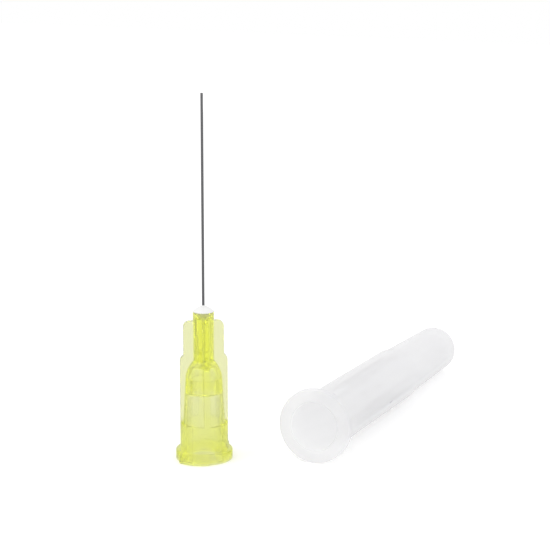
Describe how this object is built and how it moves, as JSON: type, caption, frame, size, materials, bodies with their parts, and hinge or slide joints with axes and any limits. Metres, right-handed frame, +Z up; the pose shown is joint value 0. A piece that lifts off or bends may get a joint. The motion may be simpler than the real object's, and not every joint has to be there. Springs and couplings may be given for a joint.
{
  "type": "endodontic irrigation needle",
  "caption": "Fine steel irrigation cannula bonded upright in a finned, tinted translucent luer hub, with its drawn-off protective sheath lying beside it.",
  "frame": {"origin": "on the floor, under the middle of the bounding box of the whole layout: the hub that stands on its flange, with the sheath that lies beside and behind it", "axes": "+Z up along the cannula, +Y along the lying sheath from its mouth to its closed end, +X from the hub to the sheath"},
  "size_m": [0.0208, 0.053, 0.0436],
  "materials": {
    "tinted_hub": "translucent yellow-green moulded plastic, lightly glossy",
    "ground_steel": "drawn steel tube, satin",
    "white_adhesive": "white cured adhesive",
    "natural_sheath": "natural translucent moulded plastic, slightly frosted"
  },
  "bodies": {
    "root": {"hub": "tinted_hub", "cannula": "ground_steel", "adhesive_bead": "white_adhesive", "sheath": "natural_sheath"}
  },
  "joints": []
}
